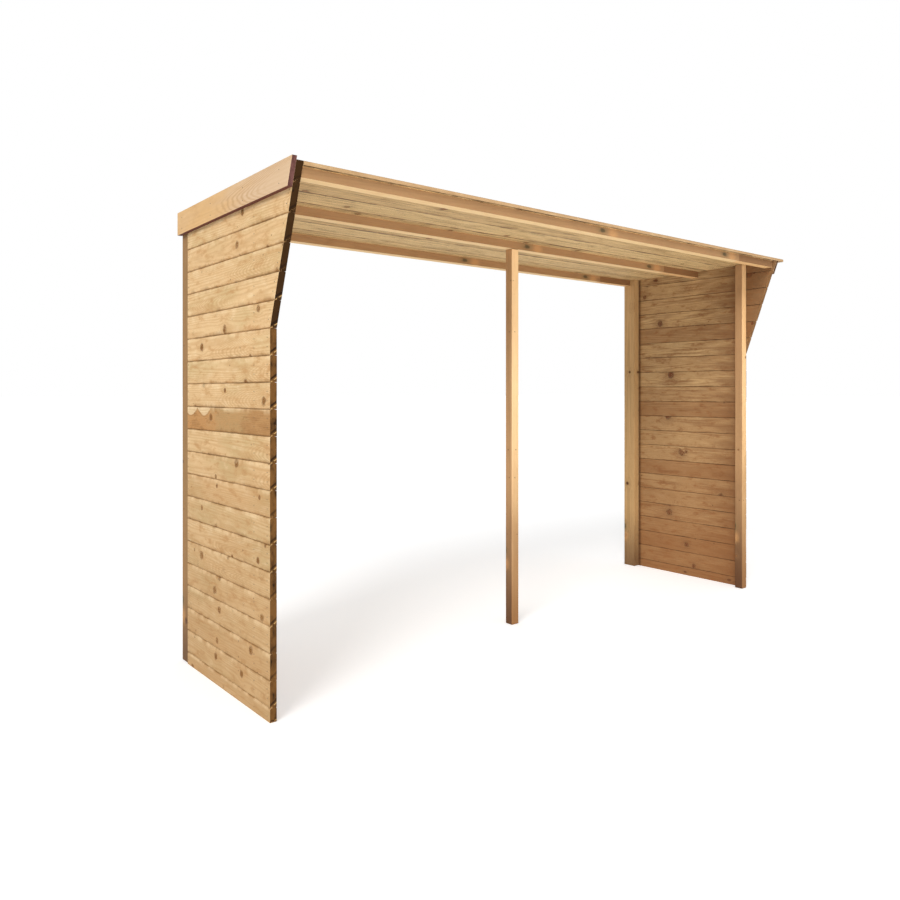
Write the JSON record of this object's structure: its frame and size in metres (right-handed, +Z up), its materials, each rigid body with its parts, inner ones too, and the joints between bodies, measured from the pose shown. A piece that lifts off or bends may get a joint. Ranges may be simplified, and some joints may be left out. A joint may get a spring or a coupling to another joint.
{
  "type": "open-fronted timber log store",
  "caption": "Open-fronted, open-backed timber log store with tongue-and-groove side walls that lean forward at the top and a shallow lean-to roof on purlins and slim posts.",
  "frame": {"origin": "on the ground, below the centre of the whole store's outline in plan", "axes": "+X along the store's length towards its right end, +Y towards the rear, +Z up; the open front faces -Y"},
  "size_m": [2.696, 0.8886, 1.65],
  "materials": {
    "wall_boards": "sawn pressure-treated softwood, pale tan, unpainted",
    "barge_boards": "planed pressure-treated softwood, pale tan, unpainted",
    "roof_boards": "sawn pressure-treated softwood, olive tan, unpainted",
    "posts": "planed softwood, mid brown, unpainted",
    "purlins": "planed softwood, mid brown, unpainted"
  },
  "bodies": {
    "root": {"left_wall_lower_boards": "wall_boards", "left_wall_leaning_boards": "wall_boards", "right_wall_lower_boards": "wall_boards", "right_wall_leaning_boards": "wall_boards", "left_barge_board": "barge_boards", "right_barge_board": "barge_boards", "left_front_post": "posts", "right_front_post": "posts", "left_rear_post": "posts", "right_rear_post": "posts", "middle_post": "posts", "front_purlin": "purlins", "middle_purlin": "purlins", "rear_purlin": "purlins", "roof_board_1": "roof_boards", "roof_board_2": "roof_boards", "roof_board_3": "roof_boards", "roof_board_4": "roof_boards", "roof_board_5": "roof_boards", "roof_board_6": "roof_boards", "roof_board_7": "roof_boards"}
  },
  "joints": []
}
